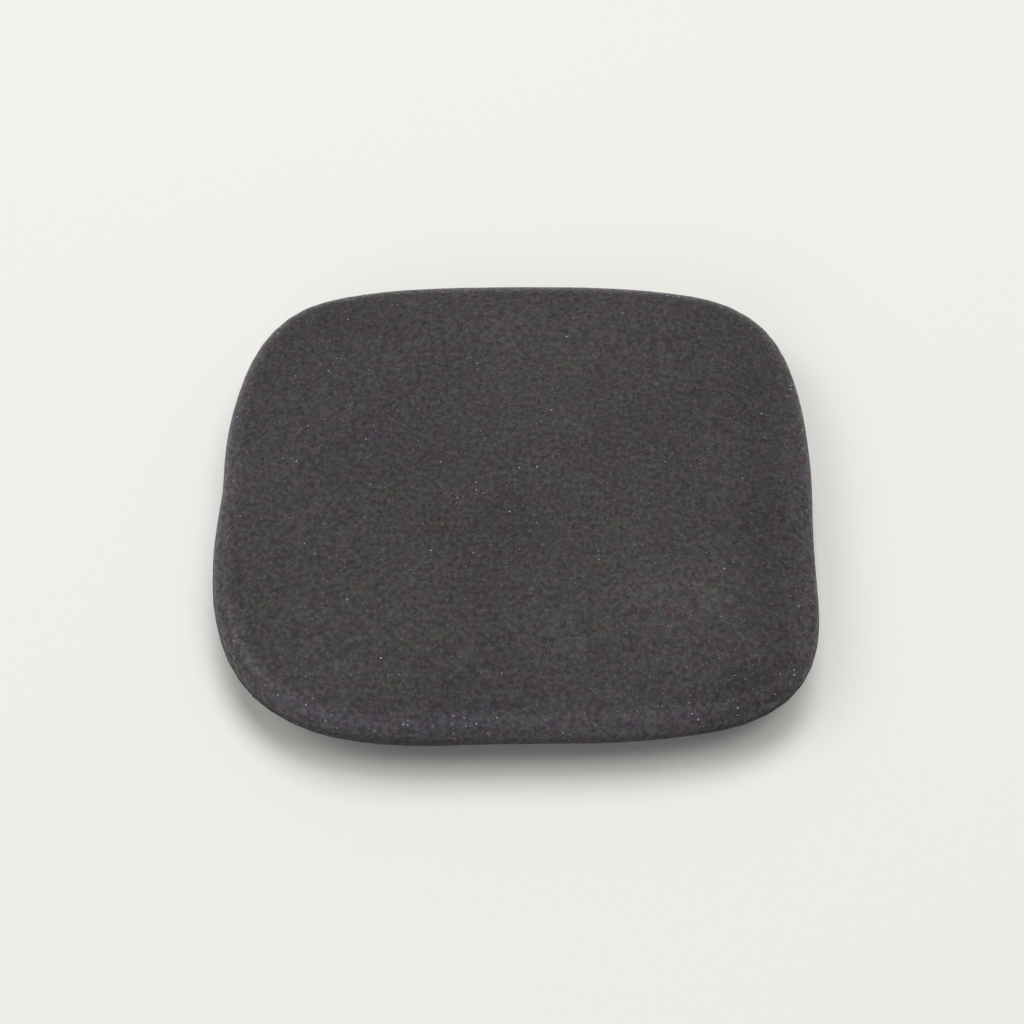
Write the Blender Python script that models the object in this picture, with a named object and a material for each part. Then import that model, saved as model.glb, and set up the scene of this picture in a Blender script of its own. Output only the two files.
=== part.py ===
"""A basalt massage stone: one flat, water-worn pebble, in metres with +Z up.

The stone is centred on the origin and rests on a small flat seat at Z = 0. Its long way is X, and the
low, worn shoulder is on its +X side. The shape starts as a ball of meridians and rings. The meridians
spread to the outline in plan, and the rings climb the section, from the seat up the belly to the widest
level, round the rolled edge and in over the crown.
"""

import math

import bmesh
import bpy

# Overall size.
LENGTH = 0.140
DEPTH = 0.1225
THICKNESS = 0.020

# Outline in plan at the widest level. A squareness of 2 is an ellipse, and a higher one is nearer a
# rectangle. Each swell is its direction and spread, in degrees from +X towards +Y, and its height.
SQUARENESS = 3.05
SWELLS = (
    (-134, 21.0, 0.0029),
    (-40, 16.5, 0.0041),
    (41, 15.5, 0.0041),
    (137, 14.0, 0.0030),
)
# The two waists are shallow hollows in the sides.
WAISTS = (
    (-14, 13.5, -0.0018),
    (180, 8.5, -0.0008),
)

# Edge: the height of the widest level, and the radius that the edge is rolled to on each side.
WIDEST_HEIGHT = 0.012
FRONT_ROLL = 0.0065
BACK_ROLL = 0.0060
LEFT_ROLL = 0.0052
RIGHT_ROLL = 0.0065
BELLY_ROLL = 0.0065

# Top: how far the middle stands above the rolled edge, and the shoulder that is worn down on one side.
CROWN = 0.0015
SHOULDER_DIRECTION = -12
SHOULDER_WIDTH = 0.020
SHOULDER_DROP = 0.0026

# Seat: the flat oval that the stone rests on.
SEAT_LENGTH = 0.060
SEAT_DEPTH = 0.050
SEAT_SQUARENESS = 2.4

# Mesh fineness. The rings count up from the middle of the seat: its rim, the belly, the roll and the crown.
MERIDIANS = 96
BELLY_RINGS = 11
ROLL_RINGS = 9
ROLL_SPAN = math.radians(82)
CROWN_RINGS = 10
WIDEST_RING = 1 + BELLY_RINGS
RINGS = WIDEST_RING + ROLL_RINGS + CROWN_RINGS

BASALT_COLOUR = (0.060, 0.055, 0.057, 1.0)
BASALT_ROUGHNESS = 0.75


def clear_scene():
    for obj in list(bpy.data.objects):
        bpy.data.objects.remove(obj)


def superellipse_radius(direction, length, depth, squareness):
    """The distance from the middle to a superellipse of this length and depth, in a direction."""
    along = abs(math.cos(direction)) / (length / 2)
    across = abs(math.sin(direction)) / (depth / 2)
    return (along**squareness + across**squareness) ** (-1 / squareness)


def swell_height(direction):
    """How far the swells and waists push the outline out, or pull it in, in a direction."""
    total = 0.0
    for middle, spread, height in SWELLS + WAISTS:
        turn = math.remainder(direction - math.radians(middle), math.tau)
        total += height * math.exp(-((turn / math.radians(spread)) ** 2))
    return total


def fitted(values, size):
    """The values, centred on 0 and stretched to span the size."""
    middle = (min(values) + max(values)) / 2
    stretch = size / (max(values) - min(values))
    return [(value - middle) * stretch for value in values]


def outline_points():
    """The widest level's plan point on each meridian. The whole outline spans LENGTH by DEPTH."""
    across = []
    along = []
    for step in range(MERIDIANS):
        direction = math.tau * step / MERIDIANS
        radius = superellipse_radius(direction, LENGTH, DEPTH, SQUARENESS) + swell_height(direction)
        along.append(radius * math.cos(direction))
        across.append(radius * math.sin(direction))
    return list(zip(fitted(along, LENGTH), fitted(across, DEPTH)))


def edge_roll(direction):
    """The radius that the top edge is rolled to, blended from the four sides' radii."""
    along = math.cos(direction)
    across = math.sin(direction)
    end = RIGHT_ROLL if along > 0 else LEFT_ROLL
    side = BACK_ROLL if across > 0 else FRONT_ROLL
    return end * along**2 + side * across**2


def roundness(reach, rise, roll):
    """The superellipse power of a section whose outermost point is rolled to this radius."""
    return 2 * reach * roll / rise**2


def shoulder_drop(direction, inset):
    """How far the worn shoulder lowers the top, this far in from the outline."""
    facing = math.cos(direction - math.radians(SHOULDER_DIRECTION))
    nearness = max(0.0, 1 - inset / SHOULDER_WIDTH)
    return SHOULDER_DROP * max(0.0, facing) ** 2 * nearness**2 * (3 - 2 * nearness)


def belly_point(ring, direction, edge):
    """A point between the seat's rim and the widest level."""
    seat_radius = superellipse_radius(direction, SEAT_LENGTH, SEAT_DEPTH, SEAT_SQUARENESS)
    seat = (seat_radius * math.cos(direction), seat_radius * math.sin(direction))
    overhang = math.hypot(edge[0], edge[1]) - seat_radius
    power = roundness(overhang, WIDEST_HEIGHT, BELLY_ROLL)
    turn = math.pi / 2 * (WIDEST_RING - ring) / BELLY_RINGS
    share = math.cos(turn) ** (2 / power)
    height = WIDEST_HEIGHT * (1 - math.sin(turn))
    return (
        seat[0] + (edge[0] - seat[0]) * share,
        seat[1] + (edge[1] - seat[1]) * share,
        height,
    )


def top_point(ring, direction, edge):
    """A point between the widest level and the middle of the crown."""
    radius = math.hypot(edge[0], edge[1])
    rise = THICKNESS - CROWN - WIDEST_HEIGHT
    power = roundness(radius, rise, edge_roll(direction))
    roll_end = math.cos(ROLL_SPAN) ** (2 / power)
    if ring <= WIDEST_RING + ROLL_RINGS:
        turn = ROLL_SPAN * (ring - WIDEST_RING) / ROLL_RINGS
        reach = math.cos(turn) ** (2 / power)
    else:
        reach = roll_end * (RINGS - ring) / CROWN_RINGS
    rolled_height = math.sqrt(max(0.0, 1 - reach**power))
    top_rise = rise - shoulder_drop(direction, radius * (1 - reach))
    height = WIDEST_HEIGHT + top_rise * rolled_height + CROWN * (1 - reach**2)
    return (edge[0] * reach, edge[1] * reach, height)


def stone_point(ring, direction, edge):
    if ring == 0:
        return (0.0, 0.0, 0.0)
    if ring <= WIDEST_RING:
        return belly_point(ring, direction, edge)
    return top_point(ring, direction, edge)


def make_stone_mesh():
    """A unit ball, whose vertices are moved to the stone's surface ring by ring."""
    bm = bmesh.new()
    bmesh.ops.create_uvsphere(bm, u_segments=MERIDIANS, v_segments=RINGS, radius=1.0)
    outline = outline_points()
    for vert in bm.verts:
        latitude = math.asin(max(-1.0, min(1.0, vert.co.z)))
        ring = round((latitude / math.pi + 0.5) * RINGS)
        step = round(math.atan2(vert.co.y, vert.co.x) / math.tau * MERIDIANS) % MERIDIANS
        vert.co = stone_point(ring, math.tau * step / MERIDIANS, outline[step])
    bmesh.ops.recalc_face_normals(bm, faces=bm.faces)
    for face in bm.faces:
        face.smooth = True
    mesh = bpy.data.meshes.new("stone")
    bm.to_mesh(mesh)
    bm.free()
    return mesh


def make_basalt():
    material = bpy.data.materials.new("basalt")
    material.use_nodes = True
    shader = material.node_tree.nodes["Principled BSDF"]
    shader.inputs["Base Color"].default_value = BASALT_COLOUR
    shader.inputs["Roughness"].default_value = BASALT_ROUGHNESS
    shader.inputs["Metallic"].default_value = 0.0
    return material


def make_stone():
    mesh = make_stone_mesh()
    mesh.materials.append(make_basalt())
    stone = bpy.data.objects.new("stone", mesh)
    bpy.context.scene.collection.objects.link(stone)
    return stone


clear_scene()
make_stone()
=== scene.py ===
"""A basalt massage stone on a pale surface, finished around its CAD solid.

The stone starts as a block of quads that is shrunk onto the CAD solid and refined, pass by pass. The
surface is then weathered in the mesh itself, with long swells, tumbling dents and grain. The basalt is
procedural: a fine groundmass whose hue drifts, broad patches of tone with painted shade and a painted
highlight among them, pale feldspar flecks, painted glints on some crystals and rust on others, a few pits
painted dark as shade, and an edge worn smooth by rubbing, with a painted cool highlight and painted
sparkles on it.
"""

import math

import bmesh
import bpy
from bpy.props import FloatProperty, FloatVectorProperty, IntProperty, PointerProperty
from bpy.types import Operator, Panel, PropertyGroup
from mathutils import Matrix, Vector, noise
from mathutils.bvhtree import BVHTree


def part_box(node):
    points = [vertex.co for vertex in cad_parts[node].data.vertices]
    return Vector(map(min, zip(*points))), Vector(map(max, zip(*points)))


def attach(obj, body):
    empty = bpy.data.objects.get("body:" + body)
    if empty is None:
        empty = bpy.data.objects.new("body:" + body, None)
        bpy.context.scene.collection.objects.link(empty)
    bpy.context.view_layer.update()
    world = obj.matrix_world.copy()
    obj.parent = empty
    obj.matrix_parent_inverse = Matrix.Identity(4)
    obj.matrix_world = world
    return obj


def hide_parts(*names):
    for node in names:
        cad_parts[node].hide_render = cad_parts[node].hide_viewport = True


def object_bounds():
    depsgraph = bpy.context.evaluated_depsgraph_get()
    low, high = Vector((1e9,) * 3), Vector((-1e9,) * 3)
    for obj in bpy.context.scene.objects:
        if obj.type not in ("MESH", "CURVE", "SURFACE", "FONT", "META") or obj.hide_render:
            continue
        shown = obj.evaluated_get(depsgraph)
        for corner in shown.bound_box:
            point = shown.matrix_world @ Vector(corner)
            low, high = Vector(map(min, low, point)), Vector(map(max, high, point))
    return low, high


bl_info = {
    "name": "Basalt Massage Stone",
    "version": (1, 0, 0),
    "blender": (4, 5, 0),
    "location": "3D View > Sidebar > Massage Stone",
    "description": "Builds a weathered basalt massage stone around its CAD solid, and its stage",
    "category": "Object",
}

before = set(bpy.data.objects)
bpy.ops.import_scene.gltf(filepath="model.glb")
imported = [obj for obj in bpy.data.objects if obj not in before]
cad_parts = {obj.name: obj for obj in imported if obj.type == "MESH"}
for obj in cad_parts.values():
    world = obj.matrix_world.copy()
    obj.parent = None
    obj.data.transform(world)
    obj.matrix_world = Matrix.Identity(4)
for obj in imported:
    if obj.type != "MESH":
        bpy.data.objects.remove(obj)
CAD_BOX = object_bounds()
CAD_NODE = "stone"
BODY = "root"
WEAR_AND_PAINTED_HIGHLIGHT = "wear"

# The weathering fades in over this height above the seat, which stays flat.
SEAT_CLEARANCE = 0.002

# Where the rubbing of the rolled edge starts and where it is full, as the angle of the surface's normal above
# the horizon, in degrees. The same band carries the painted cool highlight and the painted sparkles.
RUBBING_AND_HIGHLIGHT_STARTS_BELOW = 76
RUBBING_AND_HIGHLIGHT_FULL_BELOW = 62
RUBBING_AND_HIGHLIGHT_FULL_ABOVE = 38
RUBBING_AND_HIGHLIGHT_STARTS_ABOVE = 5

# Broad patches of paler or darker tone, with painted shade and a painted highlight among them: the middle and
# reach of each, and how far it changes the shade.
TONE_AND_PAINTED_SHADING_PATCHES = (
    # Painted highlight: paler where a swell on the right faces the light.
    ((0.0345, -0.0295, 0.019), (0.018, 0.010, 0.02), 0.13),
    # Darker tone.
    ((-0.002, -0.011, 0.019), (0.013, 0.013, 0.02), -0.06),
    ((-0.040, 0.045, 0.019), (0.016, 0.009, 0.02), -0.08),
    # Painted shade: darker where the right shoulder slopes from the light, darkest at the front right corner.
    ((0.0555, 0.000, 0.017), (0.009, 0.060, 0.02), -0.15),
    ((0.054, -0.055, 0.013), (0.024, 0.017, 0.02), -0.28),
)

# The soft lights: name, degrees round from the front, degrees up, width, height, the setting that holds the
# power, and colour.
LIGHTS = (
    ("back_light", 180, 66.5, 1.0, 1.0, "back_power", (0.92, 0.94, 1.0)),
    ("right_light", 97, 72, 1.0, 1.0, "right_power", (0.94, 1.0, 1.0)),
    ("left_light", 262, 50, 1.2, 1.2, "left_power", (0.93, 1.0, 0.95)),
    ("front_light", 333, 29, 1.8, 1.1, "front_power", (0.71, 0.74, 0.97)),
)
SURROUNDINGS_COLOUR = (1.0, 0.93, 0.84, 1.0)
FLOOR_REACH = 4.0


class StoneSettings(PropertyGroup):
    """The stone's mesh fineness and the depths that the weather has cut into it."""

    block_cell: FloatProperty(
        name="Block Cell",
        description="Size of a quad in the first block, before it is refined",
        default=0.0058,
        unit="LENGTH",
    )
    refinements: IntProperty(
        name="Refinements",
        description="How many times each quad is cut into four",
        default=3,
    )
    swell_size: FloatProperty(
        name="Swell Size",
        description="Length of the long swells in the faces",
        default=0.038,
        unit="LENGTH",
    )
    swell_depth: FloatProperty(
        name="Swell Depth",
        description="Height of the long swells in the faces",
        default=0.00035,
        unit="LENGTH",
    )
    dent_size: FloatProperty(
        name="Dent Size",
        description="Length of the dents left by tumbling",
        default=0.011,
        unit="LENGTH",
    )
    dent_depth: FloatProperty(
        name="Dent Depth",
        description="Height of the dents left by tumbling",
        default=0.00010,
        unit="LENGTH",
    )
    grain_size: FloatProperty(
        name="Grain Size",
        description="Length of the grain in the mesh",
        default=0.0032,
        unit="LENGTH",
    )
    grain_depth: FloatProperty(
        name="Grain Depth",
        description="Height of the grain in the mesh",
        default=0.00003,
        unit="LENGTH",
    )


class BasaltSettings(PropertyGroup):
    """The colours of the basalt's minerals, and its painted glints, sparkles, highlight and shade."""

    groundmass: FloatVectorProperty(
        name="Groundmass",
        description="Colour of the fine dark rock",
        subtype="COLOR",
        default=(0.0561, 0.0503, 0.0510),
    )
    feldspar: FloatVectorProperty(
        name="Feldspar",
        description="Colour of the pale flecks",
        subtype="COLOR",
        default=(0.135, 0.130, 0.130),
    )
    # Painted glints: the colour of bright specks that stand in for crystals catching the light.
    painted_glint: FloatVectorProperty(
        name="Glint",
        description="Colour of the brightest crystals",
        subtype="COLOR",
        default=(0.90, 0.87, 0.78),
    )
    rust: FloatVectorProperty(
        name="Rust",
        description="Colour of the weathered olivine crystals",
        subtype="COLOR",
        default=(0.45, 0.27, 0.14),
    )
    # Painted sparkles: the colour of bluish specks on the worn edge, for crystals glittering in the light
    # there.
    painted_edge_sparkle: FloatVectorProperty(
        name="Cut Crystal",
        description="Colour of the crystals that are cut open on the rubbed edge",
        subtype="COLOR",
        default=(0.42, 0.46, 0.62),
    )
    # Painted highlight: multiplies the rock's colour paler and bluer on the rolled edge, for the cool light's
    # reflection.
    rubbed_painted_highlight: FloatVectorProperty(
        name="Rubbed",
        description="What the rock's colour is multiplied by where the edge is rubbed smooth",
        subtype="COLOR",
        default=(1.09, 1.03, 1.14),
        max=2.0,
    )
    # Painted shade: the near-black colour inside the pits.
    painted_pit_shade: FloatVectorProperty(
        name="Pit",
        description="Colour inside the open pits",
        subtype="COLOR",
        default=(0.008, 0.008, 0.009),
    )


class StageSettings(PropertyGroup):
    """The camera, the floor and the lights."""

    lens: FloatProperty(
        name="Lens",
        description="Focal length of the camera, in millimetres",
        default=50.0,
    )
    elevation: FloatProperty(
        name="Elevation",
        description="How far the camera stands above the horizon",
        default=math.radians(60),
        subtype="ANGLE",
    )
    distance: FloatProperty(
        name="Distance",
        description="From the camera to the point it is aimed at",
        default=0.335,
        unit="LENGTH",
    )
    aim: FloatVectorProperty(
        name="Aim",
        description="The point that the camera is aimed at, from the middle of the stone",
        default=(-0.0013, -0.0030, 0.0),
        subtype="TRANSLATION",
    )
    floor: FloatVectorProperty(
        name="Floor",
        description="Colour of the floor",
        subtype="COLOR",
        default=(0.852, 0.840, 0.790),
    )
    reach: FloatProperty(
        name="Reach",
        description="How far the lights hang from the stone",
        default=2.0,
        unit="LENGTH",
    )
    back_power: FloatProperty(
        name="Back Power",
        description="Power of the soft light high behind the stone",
        default=18.75,
        unit="POWER",
    )
    right_power: FloatProperty(
        name="Right Power",
        description="Power of the soft light high on the right",
        default=10.4,
        unit="POWER",
    )
    left_power: FloatProperty(
        name="Left Power",
        description="Power of the soft light on the left",
        default=9.4,
        unit="POWER",
    )
    front_power: FloatProperty(
        name="Front Power",
        description="Power of the cool low light in front, to the left",
        default=7.2,
        unit="POWER",
    )
    surroundings: FloatProperty(
        name="Surroundings",
        description="Strength of the light from all round",
        default=0.215,
    )


def add_node(tree, kind, inputs=None, **settings):
    """Adds a node with these settings. Each input is a value, or a socket that is linked to it."""
    added = tree.nodes.new(kind)
    for name, value in settings.items():
        setattr(added, name, value)
    for name, value in (inputs or {}).items():
        if isinstance(value, bpy.types.NodeSocket):
            tree.links.new(value, added.inputs[name])
        else:
            added.inputs[name].default_value = value
    return added


def math_node(tree, operation, *values):
    return add_node(tree, "ShaderNodeMath", dict(enumerate(values)), operation=operation).outputs[0]


def ramp(tree, value, start, end, low=0.0, high=1.0, smooth=True):
    """The value, carried from start..end to low..high and held there."""
    mapped = add_node(
        tree,
        "ShaderNodeMapRange",
        {"Value": value, "From Min": start, "From Max": end, "To Min": low, "To Max": high},
        interpolation_type="SMOOTHSTEP" if smooth else "LINEAR",
    )
    return mapped.outputs["Result"]


def mix_colour(tree, factor, first, second, blend="MIX"):
    mixed = add_node(
        tree,
        "ShaderNodeMix",
        {"Factor": factor, 6: first, 7: second},
        data_type="RGBA",
        blend_type=blend,
    )
    return mixed.outputs[2]


def new_group(name, inputs, outputs):
    """An empty shader node group with float or vector sockets, and its input and output nodes."""
    group = bpy.data.node_groups.new(name, "ShaderNodeTree")
    for socket, kind in inputs.items():
        group.interface.new_socket(socket, in_out="INPUT", socket_type="NodeSocket" + kind)
    for socket, kind in outputs.items():
        group.interface.new_socket(socket, in_out="OUTPUT", socket_type="NodeSocket" + kind)
    return group, group.nodes.new("NodeGroupInput"), group.nodes.new("NodeGroupOutput")


def make_mottle_group():
    """Fractal noise to multiply a colour by, as a grey shade or as a tint: one on average."""
    group, given, made = new_group(
        "Mottle",
        {
            "Coordinates": "Vector",
            "Size": "Float",
            "Detail": "Float",
            "Roughness": "Float",
            "Strength": "Float",
        },
        {"Shade": "Float", "Tint": "Color"},
    )
    texture = add_node(
        group,
        "ShaderNodeTexNoise",
        {
            "Vector": given.outputs["Coordinates"],
            "Scale": math_node(group, "DIVIDE", 1.0, given.outputs["Size"]),
            "Detail": given.outputs["Detail"],
            "Roughness": given.outputs["Roughness"],
        },
    )
    strength = given.outputs["Strength"]
    even = math_node(group, "MULTIPLY_ADD", strength, -0.5, 1.0)
    shade = math_node(group, "MULTIPLY_ADD", texture.outputs["Fac"], strength, even)
    scaled = add_node(
        group,
        "ShaderNodeVectorMath",
        {0: texture.outputs["Color"], "Scale": strength},
        operation="SCALE",
    )
    tint = add_node(group, "ShaderNodeVectorMath", {0: scaled.outputs[0], 1: even})
    group.links.new(shade, made.inputs["Shade"])
    group.links.new(tint.outputs[0], made.inputs["Tint"])
    return group


def make_grains_group():
    """Round grains scattered in the rock: one in each cell, of which only a share are kept."""
    group, given, made = new_group(
        "Grains",
        {"Coordinates": "Vector", "Spacing": "Float", "Radius": "Float", "Share": "Float"},
        {"Mask": "Float", "Kind": "Float"},
    )
    texture = add_node(
        group,
        "ShaderNodeTexVoronoi",
        {
            "Vector": given.outputs["Coordinates"],
            "Scale": math_node(group, "DIVIDE", 1.0, given.outputs["Spacing"]),
        },
    )
    away = math_node(group, "MULTIPLY", texture.outputs["Distance"], given.outputs["Spacing"])
    core_share = 0.4
    core = math_node(group, "MULTIPLY", given.outputs["Radius"], core_share)
    grain = ramp(group, away, given.outputs["Radius"], core)
    dice = add_node(group, "ShaderNodeSeparateColor", {"Color": texture.outputs["Color"]})
    kept = math_node(group, "LESS_THAN", dice.outputs["Red"], given.outputs["Share"])
    group.links.new(math_node(group, "MULTIPLY", grain, kept), made.inputs["Mask"])
    group.links.new(dice.outputs["Green"], made.inputs["Kind"])
    return group


def make_patch_group():
    """One soft oval patch: 1 in its middle, and 0 from its rim outwards."""
    group, given, made = new_group(
        "Patch",
        {"Coordinates": "Vector", "Middle": "Vector", "Reach": "Vector"},
        {"Mask": "Float"},
    )
    offset = add_node(
        group,
        "ShaderNodeVectorMath",
        {0: given.outputs["Coordinates"], 1: given.outputs["Middle"]},
        operation="SUBTRACT",
    )
    scaled = add_node(
        group,
        "ShaderNodeVectorMath",
        {0: offset.outputs[0], 1: given.outputs["Reach"]},
        operation="DIVIDE",
    )
    away = add_node(group, "ShaderNodeVectorMath", {0: scaled.outputs[0]}, operation="LENGTH")
    full_within = 0.2
    group.links.new(ramp(group, away.outputs["Value"], 1.0, full_within), made.inputs["Mask"])
    return group


def group_node(tree, group, coordinates, **inputs):
    """A placed group, fed with coordinates and with these values."""
    values = {name.replace("_", " ").title(): value for name, value in inputs.items()}
    added = add_node(tree, "ShaderNodeGroup", node_tree=group)
    tree.links.new(coordinates, added.inputs["Coordinates"])
    for name, value in values.items():
        added.inputs[name].default_value = value
    return added


def fine_grain(tree, place, mottle):
    """The rock's grain: about one on average, less in dark grains and more in light ones."""
    speckle = group_node(
        tree, mottle, place, size=0.0011, detail=2.0, roughness=0.7, strength=0.80
    ).outputs["Shade"]
    contrast = 2.5
    return math_node(tree, "POWER", speckle, contrast)


def groundmass_colour(tree, place, mottle, grain, wear, colours):
    """A hue that drifts between brown, violet and green, shaded by clouds, patches and grain.

    Some patches are painted shade and a painted highlight on the right shoulder, the rest darker or paler
    tone, and the worn edge is painted paler and bluer as a highlight.
    """
    drift = group_node(
        tree, mottle, place, size=0.0032, detail=4.0, roughness=0.65, strength=0.62
    ).outputs["Tint"]
    drifting = mix_colour(tree, 1.0, (*colours.groundmass, 1.0), drift, blend="MULTIPLY")
    shade = group_node(
        tree, mottle, place, size=0.030, detail=3.0, roughness=0.5, strength=0.5
    ).outputs["Shade"]
    patch = make_patch_group()
    # The patches darken and lighten the rock, among them painted shade and a painted highlight.
    for middle, reach, change in TONE_AND_PAINTED_SHADING_PATCHES:
        mask = group_node(tree, patch, place, middle=middle, reach=reach).outputs["Mask"]
        patched = math_node(tree, "MULTIPLY_ADD", mask, change, 1.0)
        shade = math_node(tree, "MULTIPLY", shade, patched)
    shade = math_node(tree, "MULTIPLY", shade, grain)
    mottled = mix_colour(tree, 1.0, drifting, shade, blend="MULTIPLY")
    # Painted highlight: the rolled edge is made paler and bluer, for the cool light's reflection.
    return mix_colour(tree, wear, mottled, (*colours.rubbed_painted_highlight, 1.0), blend="MULTIPLY")


def scatter_feldspar(tree, place, grains, rock, colours):
    """The rock's colour with small pale flecks in it."""
    flecks = group_node(tree, grains, place, spacing=0.0009, radius=0.00028, share=0.40)
    paleness = math_node(tree, "MULTIPLY", flecks.outputs["Mask"], flecks.outputs["Kind"])
    return mix_colour(tree, paleness, rock, (*colours.feldspar, 1.0))


def scatter_painted_glints_and_rust(tree, place, grains, rock, colours):
    """The rock's colour with painted glints on some crystals, rust on others, and where they are."""
    # Painted glints: bright specks in the colour, with rusty crystals among them.
    painted_glints_and_rust = group_node(tree, grains, place, spacing=0.0020, radius=0.00021, share=0.28)
    kind = painted_glints_and_rust.outputs["Kind"]
    rusty = ramp(tree, kind, 0.70, 0.72)
    painted_glint_or_rust = mix_colour(tree, rusty, (*colours.painted_glint, 1.0), (*colours.rust, 1.0))
    brightness = math_node(tree, "POWER", kind, 1.2)
    caught = math_node(tree, "MULTIPLY", painted_glints_and_rust.outputs["Mask"], brightness)
    return mix_colour(tree, caught, rock, painted_glint_or_rust), painted_glints_and_rust.outputs["Mask"]


def scatter_painted_edge_sparkles(tree, place, grains, rock, wear, colours):
    """The rock's colour with painted sparkles for crystals that glitter on the worn edge."""
    cut = group_node(tree, grains, place, spacing=0.0013, radius=0.00026, share=0.60)
    painted_sparkle = math_node(tree, "MULTIPLY", cut.outputs["Mask"], cut.outputs["Kind"])
    shown = math_node(tree, "MULTIPLY", painted_sparkle, wear)
    return mix_colour(tree, shown, rock, (*colours.painted_edge_sparkle, 1.0))


def scatter_pits(tree, place, grains, rock, colours):
    """The rock's colour with a few open pits, painted dark inside as shade, and where they are."""
    pits = group_node(tree, grains, place, spacing=0.0060, radius=0.00045, share=0.12)
    darkness = math_node(tree, "MULTIPLY", pits.outputs["Mask"], 0.8)
    return mix_colour(tree, darkness, rock, (*colours.painted_pit_shade, 1.0)), pits.outputs["Mask"]


def make_basalt(colours):
    material = bpy.data.materials.new("basalt")
    material.use_nodes = True
    tree = material.node_tree
    shader = tree.nodes["Principled BSDF"]
    mottle = make_mottle_group()
    grains = make_grains_group()
    place = add_node(tree, "ShaderNodeTexCoord").outputs["Object"]
    wear = add_node(tree, "ShaderNodeAttribute", attribute_name=WEAR_AND_PAINTED_HIGHLIGHT).outputs["Fac"]

    grain = fine_grain(tree, place, mottle)
    rock = groundmass_colour(tree, place, mottle, grain, wear, colours)
    rock = scatter_feldspar(tree, place, grains, rock, colours)
    rock, painted_glints_and_rust = scatter_painted_glints_and_rust(tree, place, grains, rock, colours)
    rock = scatter_painted_edge_sparkles(tree, place, grains, rock, wear, colours)
    rock, pits = scatter_pits(tree, place, grains, rock, colours)
    tree.links.new(rock, shader.inputs["Base Color"])

    # Matt rock, with smoother faces on the crystals that catch the light.
    rough = ramp(tree, grain, 0.7, 1.3, low=0.85, high=0.75, smooth=False)
    polished = math_node(tree, "MULTIPLY", painted_glints_and_rust, -0.30)
    tree.links.new(math_node(tree, "ADD", rough, polished), shader.inputs["Roughness"])
    shader.inputs["Specular IOR Level"].default_value = 0.1

    # The rolled edge is rubbed smooth, grain by grain.
    rubbed_grain = ramp(tree, grain, 0.8, 1.2, low=0.45, high=0.95, smooth=False)
    tree.links.new(math_node(tree, "MULTIPLY", wear, rubbed_grain), shader.inputs["Coat Weight"])
    shader.inputs["Coat Roughness"].default_value = 0.40

    # The grain stands up and the pits sink in.
    pit_depth = -2.0
    relief = math_node(tree, "MULTIPLY_ADD", pits, pit_depth, grain)
    bump = add_node(tree, "ShaderNodeBump", {"Height": relief, "Distance": 0.00012, "Strength": 0.8})
    tree.links.new(bump.outputs["Normal"], shader.inputs["Normal"])
    return material


def make_paper(colour):
    """Matt paper with a barely visible tooth."""
    material = bpy.data.materials.new("paper")
    material.use_nodes = True
    tree = material.node_tree
    shader = tree.nodes["Principled BSDF"]
    place = add_node(tree, "ShaderNodeTexCoord").outputs["Object"]
    tooth = add_node(tree, "ShaderNodeTexNoise", {"Vector": place, "Scale": 900.0, "Detail": 3.0})
    shade = ramp(tree, tooth.outputs["Fac"], 0.3, 0.7, low=0.985, high=1.0, smooth=False)
    tinted = mix_colour(tree, 1.0, (*colour, 1.0), shade, blend="MULTIPLY")
    tree.links.new(tinted, shader.inputs["Base Color"])
    shader.inputs["Roughness"].default_value = 0.95
    shader.inputs["Specular IOR Level"].default_value = 0.1
    return material


def solid_tree(name):
    """The CAD solid's surface, ready to be searched for its nearest point."""
    solid = bmesh.new()
    solid.from_mesh(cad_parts[name].data)
    tree = BVHTree.FromBMesh(solid)
    solid.free()
    return tree


def make_block(low, high, cell):
    """A closed block of roughly square quads, from the low corner to the high one."""
    parallel = 0.99
    bm = bmesh.new()
    bmesh.ops.create_cube(bm, size=1.0)
    bmesh.ops.scale(bm, vec=high - low, verts=bm.verts)
    bmesh.ops.translate(bm, vec=(low + high) / 2, verts=bm.verts)
    for axis in range(3):
        along = [edge for edge in bm.edges if abs(edge_direction(edge)[axis]) > parallel]
        cells = max(2, round((high[axis] - low[axis]) / cell))
        bmesh.ops.subdivide_edges(bm, edges=along, cuts=cells - 1, use_grid_fill=True)
    return bm


def edge_direction(edge):
    return (edge.verts[1].co - edge.verts[0].co).normalized()


def relax(bm, rounds):
    for _ in range(rounds):
        bmesh.ops.smooth_vert(
            bm, verts=bm.verts, factor=0.5, use_axis_x=True, use_axis_y=True, use_axis_z=True
        )


def shrink_on(bm, surface):
    for vert in bm.verts:
        vert.co = surface.find_nearest(vert.co)[0]


def wrap_and_refine(bm, surface, refinements):
    """Spreads the quads evenly over the surface, then cuts them smaller and spreads them again."""
    passes = 8
    for level in range(refinements + 1):
        if level:
            bmesh.ops.subdivide_edges(bm, edges=bm.edges, cuts=1, use_grid_fill=True)
        for _ in range(passes >> level or 1):
            shrink_on(bm, surface)
            relax(bm, rounds=4)
    relax(bm, rounds=2)


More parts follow.
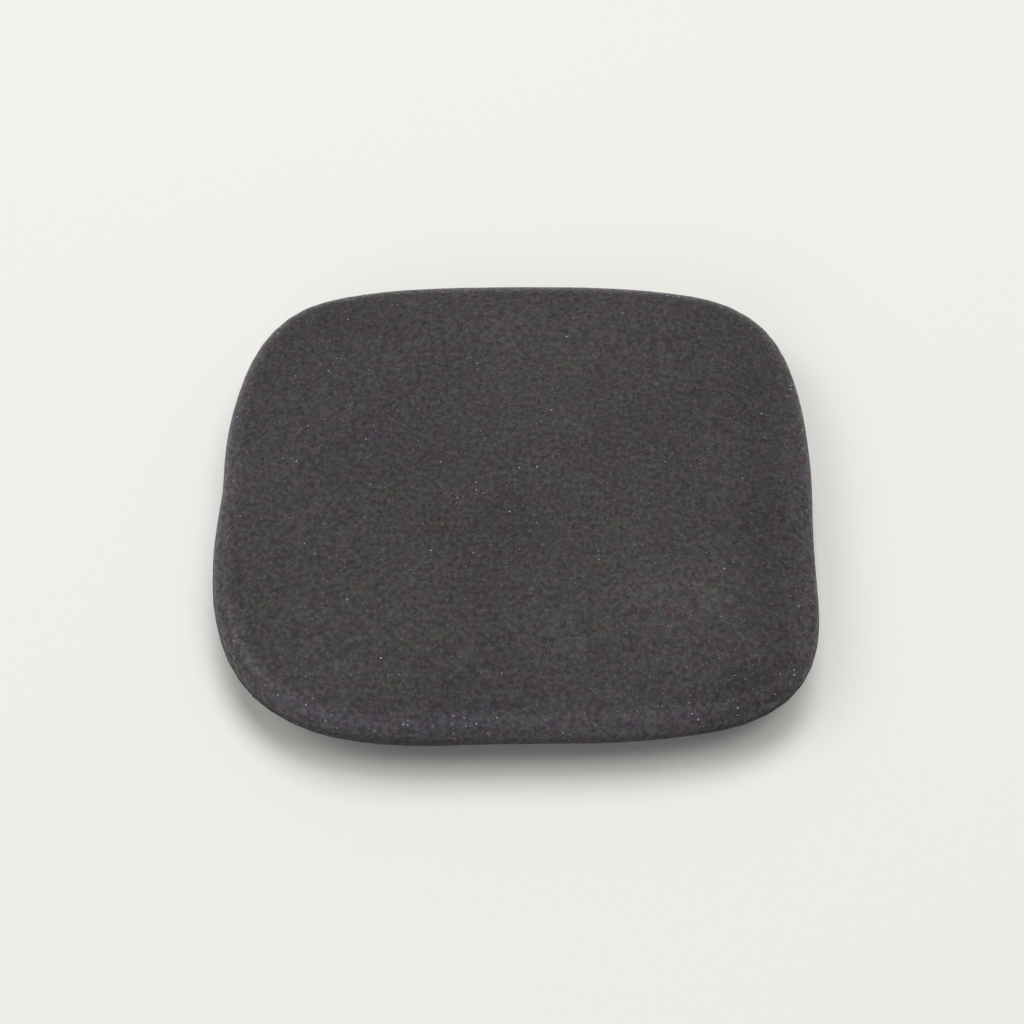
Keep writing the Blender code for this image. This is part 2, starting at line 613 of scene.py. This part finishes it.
def weather(bm, settings):
    """Moves the surface in and out by noise, fading out towards the seat so that it stays flat."""
    # The size and depth of each layer of noise, and the shift that makes it differ from the others.
    layers = (
        (settings.swell_size, settings.swell_depth, Vector((3.1, 7.7, 1.9))),
        (settings.dent_size, settings.dent_depth, Vector((11.3, 2.2, 5.8))),
        (settings.grain_size, settings.grain_depth, Vector((4.6, 9.4, 8.1))),
    )
    seat_height = CAD_BOX[0][2]
    bm.normal_update()
    moves = []
    for vert in bm.verts:
        height = sum(depth * noise.noise(vert.co / size + shift) for size, depth, shift in layers)
        clear = min(1.0, max(0.0, (vert.co.z - seat_height) / SEAT_CLEARANCE))
        moves.append(vert.normal * height * clear)
    for vert, move in zip(bm.verts, moves):
        vert.co += move
        vert.co.z = max(vert.co.z, seat_height)


def fade(value, start, end):
    """0 at the start and 1 at the end, with a soft step between."""
    share = min(1.0, max(0.0, (value - start) / (end - start)))
    return share * share * (3 - 2 * share)


def mark_wear_and_painted_highlight(bm):
    """Marks the rolled edge, which other stones and hands have worn smooth, by how steep it is.

    The same mark places the painted cool highlight and the painted sparkles on that edge.
    """
    wear = bm.verts.layers.float.new(WEAR_AND_PAINTED_HIGHLIGHT)
    bm.normal_update()
    for vert in bm.verts:
        slope = math.degrees(math.asin(min(1.0, max(-1.0, vert.normal.z))))
        from_top = fade(slope, RUBBING_AND_HIGHLIGHT_STARTS_BELOW, RUBBING_AND_HIGHLIGHT_FULL_BELOW)
        from_belly = fade(slope, RUBBING_AND_HIGHLIGHT_STARTS_ABOVE, RUBBING_AND_HIGHLIGHT_FULL_ABOVE)
        vert[wear] = from_top * from_belly


def finish_mesh(name, bm, material):
    """Links the mesh as a smooth object at the origin."""
    bmesh.ops.recalc_face_normals(bm, faces=bm.faces)
    for face in bm.faces:
        face.smooth = True
    mesh = bpy.data.meshes.new(name)
    bm.to_mesh(mesh)
    bm.free()
    mesh.materials.append(material)
    obj = bpy.data.objects.new(name, mesh)
    bpy.context.scene.collection.objects.link(obj)
    return obj


class MASSAGE_OT_stone(Operator):
    """Build the weathered basalt stone over its CAD solid"""

    bl_idname = "massage.stone"
    bl_label = "Stone"

    def execute(self, context):
        settings = context.scene.massage_stone
        low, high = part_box(CAD_NODE)
        bm = make_block(low, high, settings.block_cell)
        wrap_and_refine(bm, solid_tree(CAD_NODE), settings.refinements)
        weather(bm, settings)
        mark_wear_and_painted_highlight(bm)
        stone = finish_mesh("basalt_stone", bm, make_basalt(context.scene.massage_basalt))
        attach(stone, BODY)
        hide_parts(CAD_NODE)
        return {"FINISHED"}


def direction(azimuth, elevation):
    """The direction at this angle round from the front, counted towards +X, and this angle up."""
    return Vector(
        (
            math.cos(elevation) * math.sin(azimuth),
            -math.cos(elevation) * math.cos(azimuth),
            math.sin(elevation),
        )
    )


def add_area_light(name, place, target, width, height, power, colour):
    light = bpy.data.lights.new(name, "AREA")
    light.shape = "ELLIPSE"
    light.size = width
    light.size_y = height
    light.energy = power
    light.color = colour
    lamp = bpy.data.objects.new(name, light)
    lamp.location = place
    lamp.rotation_euler = (target - place).to_track_quat("-Z", "Y").to_euler()
    bpy.context.scene.collection.objects.link(lamp)
    return lamp


class MASSAGE_OT_stage(Operator):
    """Lay the floor, hang the lights and aim the camera"""

    bl_idname = "massage.stage"
    bl_label = "Stage"

    def execute(self, context):
        stage = context.scene.massage_stage
        low, high = (Vector(corner) for corner in CAD_BOX)
        middle = (low + high) / 2
        self.lay_floor(stage, low.z)
        self.hang_lights(stage, middle)
        self.aim_camera(context, stage, middle)
        context.scene.view_settings.view_transform = "Standard"
        return {"FINISHED"}

    def lay_floor(self, stage, height):
        bm = bmesh.new()
        bmesh.ops.create_grid(bm, x_segments=1, y_segments=1, size=FLOOR_REACH)
        bmesh.ops.translate(bm, vec=(0.0, 0.0, height), verts=bm.verts)
        finish_mesh("floor", bm, make_paper(stage.floor))

    def hang_lights(self, stage, middle):
        for name, azimuth, elevation, width, height, setting, colour in LIGHTS:
            away = direction(math.radians(azimuth), math.radians(elevation))
            place = middle + away * stage.reach
            power = getattr(stage, setting)
            add_area_light(name, place, middle, width, height, power, colour)
        world = bpy.data.worlds.new("surroundings")
        world.use_nodes = True
        backdrop = world.node_tree.nodes["Background"]
        backdrop.inputs["Color"].default_value = SURROUNDINGS_COLOUR
        backdrop.inputs["Strength"].default_value = stage.surroundings
        bpy.context.scene.world = world

    def aim_camera(self, context, stage, middle):
        camera = bpy.data.cameras.new("camera")
        camera.lens = stage.lens
        target = middle + Vector(stage.aim)
        away = direction(0.0, stage.elevation)
        stand = bpy.data.objects.new("camera", camera)
        stand.location = target + away * stage.distance
        stand.rotation_euler = (-away).to_track_quat("-Z", "Y").to_euler()
        context.scene.collection.objects.link(stand)
        context.scene.camera = stand


class MASSAGE_PT_sidebar(Panel):
    """The stone's operators and settings"""

    bl_idname = "MASSAGE_PT_sidebar"
    bl_label = "Massage Stone"
    bl_space_type = "VIEW_3D"
    bl_region_type = "UI"
    bl_category = "Massage Stone"

    def draw(self, context):
        for operator, settings in PIECES:
            self.layout.operator(operator.bl_idname)
            for name in settings:
                group = getattr(context.scene, name)
                for field in group.bl_rna.properties:
                    if field.identifier not in ("rna_type", "name"):
                        self.layout.prop(group, field.identifier)


PIECES = (
    (MASSAGE_OT_stone, ("massage_stone", "massage_basalt")),
    (MASSAGE_OT_stage, ("massage_stage",)),
)
SETTINGS = {
    "massage_stone": StoneSettings,
    "massage_basalt": BasaltSettings,
    "massage_stage": StageSettings,
}
CLASSES = (*SETTINGS.values(), MASSAGE_OT_stone, MASSAGE_OT_stage, MASSAGE_PT_sidebar)


def register():
    for each in CLASSES:
        bpy.utils.register_class(each)
    for name, group in SETTINGS.items():
        setattr(bpy.types.Scene, name, PointerProperty(type=group))


def unregister():
    for name in SETTINGS:
        delattr(bpy.types.Scene, name)
    for each in reversed(CLASSES):
        bpy.utils.unregister_class(each)


def main():
    register()
    bpy.ops.massage.stone()
    bpy.ops.massage.stage()


if __name__ == "__main__":
    main()
